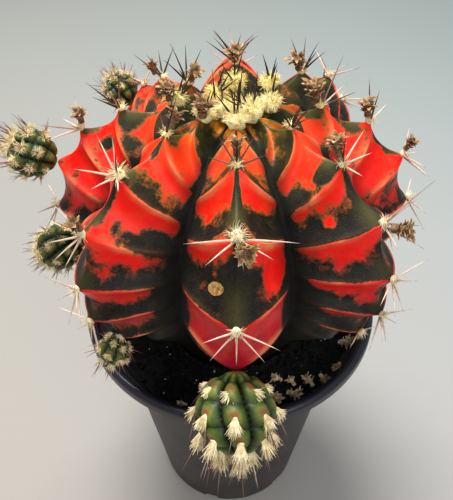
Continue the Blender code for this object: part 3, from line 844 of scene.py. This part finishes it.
def add_flower(shape, tip_layer, placed, length, mouth, scales, draw):
    """Adds a flower along a frame's +Z."""
    foot = 0.35 * mouth
    grow(shape, FLOWER_CORE, placed, 0.7 * length, 1.2 * foot, 0, {tip_layer: 0.1})
    for step in range(scales):
        share = step / scales
        turn = Matrix.Rotation(math.radians(GOLDEN_TURN * step + draw.uniform(-15, 15)), 4, "Z")
        out = (foot + (0.62 * mouth - foot) * share) * (0.95 if step % 3 else 0.5)
        lift = Matrix.Translation((out, 0, (0.05 + 0.66 * share) * length))
        lean = Matrix.Rotation(math.radians(8 + 30 * share + draw.uniform(-26, 26)), 4, "Y")
        size = length * draw.uniform(0.28, 0.48)
        whole = placed @ turn @ lift @ lean
        twist = draw.uniform(-0.5, 0.5)
        for vert in copy_into(shape, SCALE):
            up = vert.co.z
            vert[tip_layer] = up
            vert.co = whole @ (Vector((vert.co.x, vert.co.y + twist * up * up * 0.4, up)) * size)


# %% Flowers on their areoles
# Each one's rib, areole, lean down the rib in degrees, length and mouth radius in mm.
FLOWERS = (("front", 1, -35, 4.4, 1.9), ("front", 2, 26, 5.4, 2.0), ("front_left", 0, 15, 5.0, 2.9),
           ("front_left", 1, -35, 4.6, 2.1), ("front_left", 3, -25, 4.0, 2.0), ("left", 0, 12, 4.6, 2.4),
           ("left", 2, -35, 4.2, 1.9), ("back_left", 1, -30, 4.4, 2.0), ("back_left", 2, 12, 4.0, 1.9),
           ("back", 1, -30, 4.8, 2.2), ("back_right", 1, -30, 4.8, 2.4), ("right", 1, -20, 6.0, 2.6),
           ("right", 2, -35, 4.8, 1.9), ("right", 3, -30, 4.0, 1.8), ("front_right", 2, -40, 5.4, 2.1),
           ("front_right", 3, 20, 4.8, 2.5))
CROWN_CLEARANCE = 12.3 * MM
for rib, areole, lean, length, mouth in FLOWERS:
    node = f"dried_flower_{rib}_{areole}"
    placed = skin_frame(rib, RIBS[rib][2][areole])
    away = 1.8 * MM
    if areole == 0:
        from_axis = math.hypot(placed.translation.x - PLANT.x, placed.translation.y - PLANT.y)
        away = max(CROWN_CLEARANCE - from_axis, away)
    swing = Matrix.Rotation(math.radians(29 if lean > 0 else 0), 4, "Z")
    foot = Matrix.Translation((math.copysign(away, lean), 0, 1.2 * MM))
    whole = placed @ swing @ foot @ Matrix.Rotation(math.radians(lean), 4, "Y")
    flower, tip_layer = new_shape("tip")
    add_flower(flower, tip_layer, whole, length * MM, mouth * MM, 36, random.Random(node))
    add_piece(f"withered_{rib}_{areole}", flower, dry_finish, "dried_flower", node)
print(len(FLOWERS), "withered flowers")

# %% [markdown]
# ## Offsets
# A young plant grows from an areole as a ball of green tubercles in columns, parted by grooves that are
# painted dark as shade, with the tubercles' tops painted lighter.
# Each tubercle has a tuft of cream wool and a few needles. On the large one at the front the tufts
# are long and hang down.

# %% Offset finish
pup_skin, tree, shader = new_finish("young_skin", Roughness=0.45, Specular_IOR_Level=0.28)
# Painted shade and light: the green is darkest in the grooves and lightest on the tubercles' tops, with
# mottling.
groove_shade_and_mottle = maths(tree, "ADD", attribute(tree, "bulge"), wavering(tree, 0.7, 420, 4))
green = ramp(tree, groove_shade_and_mottle, (0.1, (0.004, 0.009, 0.002)), (0.45, (0.022, 0.042, 0.006)),
             (0.75, (0.065, 0.098, 0.014)), (1.0, (0.17, 0.20, 0.035)))
feed(tree, shader, Base_Color=mix(tree, attribute(tree, "blush"), green, (0.20, 0.030, 0.014)),
     Normal=grain(tree, 3200, 0.0001, 0.5)["Normal"])


# %% Build the offsets
WINDING = 0.22
TIP_ANGLE, TUBERCLES_END = 6, 150


def make_flesh(node, placed, radius, columns, row_angle, segments):
    """A ball of tubercles in columns that wind a little about its axis."""
    flesh, bulge_layer, blush_layer = new_shape("bulge", "blush")
    bmesh.ops.create_uvsphere(flesh, u_segments=segments, v_segments=segments * 5 // 8, radius=1)
    for vert in flesh.verts:
        tilt = math.degrees(math.acos(max(min(vert.co.z, 1), -1)))
        turn = math.atan2(vert.co.y, vert.co.x) - WINDING * math.radians(tilt - 90)
        across = abs(math.cos(columns * turn / 2)) ** 0.55
        lengthwise = abs(math.sin(math.pi * (tilt - TIP_ANGLE) / row_angle)) ** 0.5
        low = 1 - ease(160, 176, tilt)
        bump = (across * (0.45 + 0.55 * lengthwise) - 1) * low * ease(4, 16, tilt)
        vert.co = vert.co * radius * (1.02 + 0.22 * bump)
        # The bulge drives painted shade in the grooves and painted light on the tubercles' tops.
        vert[bulge_layer] = 1 + 1.25 * bump
        chin = (tilt - TIP_ANGLE) / row_angle % 1
        on_chin = ease(0.35, 0.55, chin) * (1 - ease(0.6, 0.8, chin))
        vert[blush_layer] = 0.75 * on_chin * ease(0.86, 1, across) * low
    bmesh.ops.transform(flesh, matrix=placed, verts=flesh.verts)
    add_piece(f"{node}_flesh", flesh, pup_skin, "young_skin", node)


def make_offset(node, rib, areole, radius, droop, columns, rows, segments, tuft, hang, reach,
                needle=0.17 * MM):
    behind = skin_frame(rib, RIBS[rib][2][areole])
    skin_out = behind.to_3x3().col[2]
    placed = behind @ Matrix.Translation((0, 0, radius + GAP)) @ Matrix.Rotation(math.radians(droop), 4, "Y")
    row_angle = TUBERCLES_END / rows
    make_flesh(node, placed, radius, columns, row_angle, segments)
    draw = random.Random(node)
    flat = placed.to_3x3()
    towards_tip = flat @ Vector((0, 0, 1))
    wool, young_layer = new_shape("young")
    needles, *needle_layers = new_shape("along", "tone")
    for row in range(rows):
        tilt = TIP_ANGLE + row_angle * (row + 0.42)
        # Close round the tip of a hanging offset there is room for half the columns only.
        for column in range(0, columns, 2 if row == 0 and hang else 1):
            turn = 2 * math.pi * column / columns + WINDING * (math.radians(tilt) - math.pi / 2)
            spot = outward(tilt, turn)
            root = placed @ (spot * radius * 0.96)
            if (root - behind.translation).dot(skin_out) < 0.35 * radius:
                continue
            normal = (flat @ spot).normalized()
            areole_frame = pointing(root, (normal + 0.35 * towards_tip).normalized(), towards_tip)
            size = tuft * (1.25 - 0.2 * row)
            mound = (0.45 - 0.12 * min(hang, 1)) * size
            fibres = int(30 + 34 * size / MM)
            add_tuft(wool, young_layer, areole_frame, mound, 0.8 * mound, fibres, 1.3 * size, draw,
                     young=0.3, droop=hang, thick=0.1 + 0.05 * hang)
            for _ in range(3):
                stray = Vector([draw.uniform(-0.4, 0.4) for _ in range(3)])
                heading = normal * 0.55 + towards_tip * (0.5 + 0.35 * (row == 0)) + stray + DOWN * hang
                grow(needles, NEEDLE, pointing(root, heading.normalized(), DOWN),
                     reach * draw.uniform(0.55, 1.0) * (1 - 0.12 * row), needle, draw.uniform(0, 0.08),
                     {needle_layers[0]: None, needle_layers[1]: draw.uniform(0.3, 0.7)})
    add_piece(f"{node}_wool", wool, wool_finish, "areole_wool")
    add_piece(f"{node}_needles", needles, needle_finish, "spines")


make_offset("offset_front", "front", 4, 9.4 * MM, 20, 8, 4, 176, 2.9 * MM, 1.0, 16 * MM, 0.22 * MM)
make_offset("offset_upper_left", "left", 3, 6.3 * MM, -12, 8, 4, 112, 1.1 * MM, 0.0, 7 * MM)
make_offset("offset_lower_left", "left", 5, 6.8 * MM, 0, 8, 4, 112, 1.1 * MM, 0.0, 6.5 * MM)
make_offset("offset_back_left", "back_left", 4, 5.0 * MM, -10, 7, 4, 96, 0.9 * MM, 0.0, 5.5 * MM)
make_offset("offset_low_left", "front_left", 6, 4.0 * MM, 0, 7, 3, 80, 0.9 * MM, 0.2, 6 * MM)
print("5 offsets")

# %% [markdown]
# ## The pot
# A nursery pot is blown or injected in thin plastic: a rolled lip, a collar, a shoulder that lets
# pots nest, and a tapered wall. It is one profile spun about the axis. Slots are cut at the foot,
# where water drains. The wall has a fine spark-eroded texture and the lip is smoother.

# %% Pot
LIP_WIDTH, LIP_HEIGHT, COLLAR, SHOULDER, STEP = 3.2 * MM, 4.2 * MM, 6 * MM, 8 * MM, 7.5 * MM
BASE_RADIUS, WALL, CORNER = 27 * MM, 1.3 * MM, 1.4 * MM
collar_radius = RIM - LIP_WIDTH + WALL
wall_top = collar_radius - STEP
inner_wall = wall_top - WALL
shoulder_top = pot_high.z - COLLAR
shoulder_foot = shoulder_top - SHOULDER
lip_foot = pot_high.z - LIP_HEIGHT
lip_centre, LIP_ROUND = RIM - LIP_WIDTH / 2, LIP_WIDTH / 2


def eased_corner(before, corner, after, size, steps=4):
    """Rounds a profile's corner: points on a curve from one side of it to the other."""
    corner = Vector(corner)
    start = corner + (Vector(before) - corner).normalized() * size
    end = corner + (Vector(after) - corner).normalized() * size
    shares = [k / steps for k in range(steps + 1)]
    return [tuple(start.lerp(corner, share).lerp(corner.lerp(end, share), share)) for share in shares]


outer_line = [(0, 0), (BASE_RADIUS, 0), (wall_top, shoulder_foot), (collar_radius, shoulder_top),
              (collar_radius, lip_foot)]
profile = [(0, 0.9 * MM), (BASE_RADIUS - 7 * MM, 0.9 * MM), (BASE_RADIUS - 6 * MM, 0)]
for k, size in ((1, CORNER), (2, 1.6 * MM), (3, 1.6 * MM)):
    profile += eased_corner(outer_line[k - 1], outer_line[k], outer_line[k + 1], size)
profile += [(collar_radius, lip_foot), (RIM - 0.5 * MM, lip_foot), (RIM, lip_foot + 0.5 * MM)]
for step in range(11):
    turn = math.pi * step / 10
    profile.append((lip_centre + LIP_ROUND * math.cos(turn), pot_high.z - LIP_ROUND * (1 - math.sin(turn))))
profile += [(collar_radius - WALL, shoulder_top), (inner_wall, shoulder_foot),
            (BASE_RADIUS - WALL, WALL + 1.2 * MM), (BASE_RADIUS - 2 * WALL, WALL + 0.4 * MM),
            (0, WALL + 0.4 * MM)]
pot_plastic, tree, shader = new_finish("pot_plastic", Specular_IOR_Level=0.45)
heights = wire(tree, "SeparateXYZ", {"Vector": object_place(tree)}).outputs["Z"]
on_lip = rising(tree, heights, pot_high.z - 5 * MM, pot_high.z - 4 * MM)
sparks = grain(tree, 2400, 0.00025, 0.75)["Mask"]
dust = speckle(tree, 60, 4)
wall_tone = ramp(tree, sparks, (0.35, (0.010, 0.008, 0.009)), (0.65, (0.052, 0.043, 0.043)))
wall_tone = mix(tree, ramp(tree, dust, (0.45, 0.0), (0.75, 0.35)), wall_tone, (0.11, 0.095, 0.08))
lip_tone = ramp(tree, dust, (0.3, (0.006, 0.006, 0.012)), (0.7, (0.016, 0.015, 0.025)))
pits = maths(tree, "MULTIPLY", sparks, ramp(tree, on_lip, (0.0, 1.0), (1.0, 0.1)))
feed(tree, shader, Base_Color=mix(tree, on_lip, wall_tone, lip_tone),
     Roughness=ramp(tree, on_lip, (0.0, 0.55), (1.0, 0.33)),
     Normal=wire(tree, "Bump", {"Height": pits, "Distance": 0.0002, "Strength": 0.6}).outputs["Normal"])
pot = add_piece("nursery_pot", turned(profile, 168), pot_plastic, "pot_plastic", "pot", smooth_angle=35)

# %% Drain slots
DRAINS, DRAIN_WIDTH, DRAIN_HEIGHT = 6, 5 * MM, 3.2 * MM
cutters = bmesh.new()
for step in range(DRAINS):
    turn = Matrix.Rotation(2 * math.pi * (step + 0.25) / DRAINS, 4, "Z")
    size = Matrix.Diagonal((6 * WALL, DRAIN_WIDTH, 2 * DRAIN_HEIGHT, 1))
    bmesh.ops.create_cube(cutters, size=1, matrix=turn @ Matrix.Translation((BASE_RADIUS, 0, 0)) @ size)
level_edges = [edge for edge in cutters.edges if abs(edge.verts[0].co.z - edge.verts[1].co.z) < MM]
bmesh.ops.bevel(cutters, geom=level_edges, offset=0.6 * MM, segments=2, profile=0.5,
                affect="EDGES", material=-1)
cutter = as_object("drain_cutters", as_mesh("drain_cutters", cutters))
pot.modifiers.new("drains", "BOOLEAN").object = cutter
bpy.context.view_layer.update()
cut_mesh = bpy.data.meshes.new_from_object(pot.evaluated_get(bpy.context.evaluated_depsgraph_get()))
pot.modifiers.clear()
pot.data = cut_mesh
bpy.data.objects.remove(cutter)
print("pot:", len(pot.data.polygons), "faces")

# %% [markdown]
# ## The soil
# The mix is black peat with bark and a few white crumbs of perlite. The surface is a disc of rings,
# raised and sunk by noise at two scales, and loose grains lie on it. Some old flowers have dropped.

# %% Soil surface
soil_low, soil_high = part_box("soil")
SOIL_RADIUS = (soil_high.x - soil_low.x) / 2
SEAT_RADIUS = NECK_RADIUS + 0.5 * MM


def soil_height(x, y):
    place = Vector((x, y, 0))
    return SOIL_TOP + (0.9 * noise.noise(place * 220) + 0.7 * noise.noise(place * 700) - 0.2) * MM


soil_profile = [(0, soil_low.z), (BASE_RADIUS - WALL - 0.5 * MM, soil_low.z),
                (inner_wall - 0.5 * MM, shoulder_foot), (SOIL_RADIUS, SOIL_TOP - 1.5 * MM)]
soil_profile += [(SOIL_RADIUS * (1 - step / 64), SOIL_TOP) for step in range(64)] + [(0, SOIL_TOP)]
soil_shape = turned(soil_profile, 220)
for vert in soil_shape.verts:
    if vert.co.z > SOIL_TOP - MM:
        from_plant = math.hypot(vert.co.x - PLANT.x, vert.co.y - PLANT.y)
        sunk = 6 * MM * (1 - ease(SEAT_RADIUS - 0.6 * MM, SEAT_RADIUS + 0.8 * MM, from_plant))
        vert.co.z = soil_height(vert.co.x, vert.co.y) - sunk
soil_finish, tree, shader = new_finish("potting_mix", Specular_IOR_Level=0.22)
crumbs = speckle(tree, 900, 5, 0.75)
pale_bits = wire(tree, "TexVoronoi", {"Vector": object_place(tree), "Scale": 520.0})
bits = ramp(tree, pale_bits.outputs["Distance"], (0.08, 1.0), (0.14, 0.0))
bits = maths(tree, "MULTIPLY", bits, ramp(tree, speckle(tree, 240, 2), (0.55, 0.0), (0.62, 0.6)))
peat = ramp(tree, crumbs, (0.35, (0.001, 0.001, 0.001)), (0.6, (0.006, 0.005, 0.005)),
            (0.8, (0.03, 0.022, 0.018)))
feed(tree, shader, Base_Color=mix(tree, bits, peat, (0.42, 0.38, 0.33)),
     Roughness=ramp(tree, crumbs, (0.3, 0.6), (0.7, 0.95)), Normal=grain(tree, 2000, 0.0006, 1.0)["Normal"])
add_piece("potting_mix", soil_shape, soil_finish, "soil", "soil")

# %% Loose grains and fallen flowers
grains = bmesh.new()
pale_grains = bmesh.new()
draw = random.Random("grains")


def scatter(shape, count, smallest, largest):
    """Scatters rough grains on the soil, in the ring between the plant's neck and the pot."""
    for _ in range(count):
        turn = draw.uniform(0, 2 * math.pi)
        reach = math.sqrt(draw.uniform((SEAT_RADIUS + 2 * MM)**2, (SOIL_RADIUS - 1.2 * MM)**2))
        x, y = reach * math.cos(turn), reach * math.sin(turn)
        if math.hypot(x - PLANT.x, y - PLANT.y) < SEAT_RADIUS + 1.5 * MM:
            continue
        size = draw.uniform(smallest, largest)
        roll_angle = draw.uniform(0, 6)
        roll = Matrix.Rotation(roll_angle, 4, Vector((draw.random(), draw.random(), 0.3)).normalized())
        shape_of = Matrix.Diagonal((size, size * draw.uniform(0.5, 1), size * draw.uniform(0.4, 0.8), 1))
        lay = Matrix.Translation((x, y, soil_height(x, y) + 0.25 * size))
        whole = lay @ roll @ shape_of
        for vert in copy_into(shape, CRUMB):
            vert.co = whole @ vert.co
            vert.co += (vert.co - lay.translation) * 0.35 * noise.noise(vert.co * 1400)


scatter(grains, 900, 0.35 * MM, 1.3 * MM)
scatter(pale_grains, 70, 0.2 * MM, 0.5 * MM)
perlite, tree, shader = new_finish("perlite", Roughness=0.8)
white = ramp(tree, speckle(tree, 900, 3), (0.35, (0.25, 0.22, 0.20)), (0.65, (0.62, 0.60, 0.57)))
feed(tree, shader, Base_Color=white)
add_piece("loose_grains", grains, soil_finish, "soil")
add_piece("perlite_crumbs", pale_grains, perlite, "soil")
# Fallen flowers: azimuth and distance from the pot's axis in mm, and length in mm.
FALLEN = ((-68, 36, 4.2), (-59, 37, 4.6), (-56, 33, 3.6), (-49, 36, 4.6), (-43, 39, 4.0), (-62, 30, 3.8),
          (-20, 39, 4.6), (-34, 40, 3.6), (-112, 38, 3.0), (60, 37, 4.0), (150, 36, 3.6))
fallen, tip_layer = new_shape("tip")
for azimuth, reach, length in FALLEN:
    x, y = reach * MM * math.cos(math.radians(azimuth)), reach * MM * math.sin(math.radians(azimuth))
    lying = Vector((draw.uniform(-1, 1), draw.uniform(-1, 1), 0.35))
    root = Vector((x, y, soil_height(x, y) + 1.4 * MM)) - lying.normalized() * length * MM / 2
    add_flower(fallen, tip_layer, pointing(root, lying, DOWN), length * MM, 0.42 * length * MM, 20, draw)
bleached, tree, shader = new_finish("bleached_flower", Roughness=0.85, Specular_IOR_Level=0.25)
straw = ramp(tree, speckle(tree, 900, 4, 0.7), (0.35, (0.34, 0.20, 0.09)), (0.6, (0.95, 0.78, 0.52)))
feed(tree, shader, Base_Color=straw)
add_piece("fallen_flowers", fallen, bleached, "dried_flower")
print("soil, grains and", len(FALLEN), "fallen flowers")

# %% [markdown]
# ## Studio
# A pale floor takes soft shadows. Its tint shifts from front to back, and it is painted a little lighter
# at the front right, as a painted falloff of light. The light is bright and even, from a large lamp above
# and behind, a softer one at the front, and a pale sky all round.

# %% Floor and light
floor_shape = bmesh.new()
bmesh.ops.create_grid(floor_shape, x_segments=2, y_segments=2, size=3,
                      matrix=Matrix.Translation((0, 0, -0.2 * MM)))
floor = as_object("floor", as_mesh("floor", floor_shape))
floor_finish, tree, shader = new_finish("pale_floor", Roughness=0.9)
place = wire(tree, "SeparateXYZ", {"Vector": object_place(tree)}).outputs
aside = rising(tree, place["X"], -0.15, 0.15)
# Painted light: the floor is painted lighter at the front right, and its tint shifts across it.
far_tone = mix(tree, aside, (0.315, 0.325, 0.305), (0.29, 0.335, 0.325))
near_tone = mix(tree, aside, (0.345, 0.315, 0.275), (0.37, 0.365, 0.365))
feed(tree, shader, Base_Color=mix(tree, rising(tree, place["Y"], -0.05, 0.35), near_tone, far_tone))
floor.data.materials.append(floor_finish)


def soft_lamp(name, place, size, power, tint):
    """Adds a round lamp that faces the plant."""
    lamp = as_object(name, bpy.data.lights.new(name, "AREA"))
    lamp.data.shape = "DISK"
    lamp.data.size = size
    lamp.data.energy = power
    lamp.data.color = tint
    lamp.location = place
    lamp.rotation_euler = (HEART - Vector(place)).to_track_quat("-Z", "Y").to_euler()


soft_lamp("key_above", (-0.10, 0.16, 0.75), 0.35, 8.0, (1.0, 0.98, 0.95))
soft_lamp("fill_front", (0.25, -0.6, 0.6), 0.5, 2.6, (1.0, 0.97, 0.94))
world = bpy.data.worlds.new("pale_sky")
world.use_nodes = True
sky = world.node_tree.nodes["Background"].inputs
sky["Color"].default_value = (0.93, 0.96, 1.0, 1)
sky["Strength"].default_value = 0.50
bpy.context.scene.world = world
bpy.context.scene.view_settings.view_transform = "Standard"
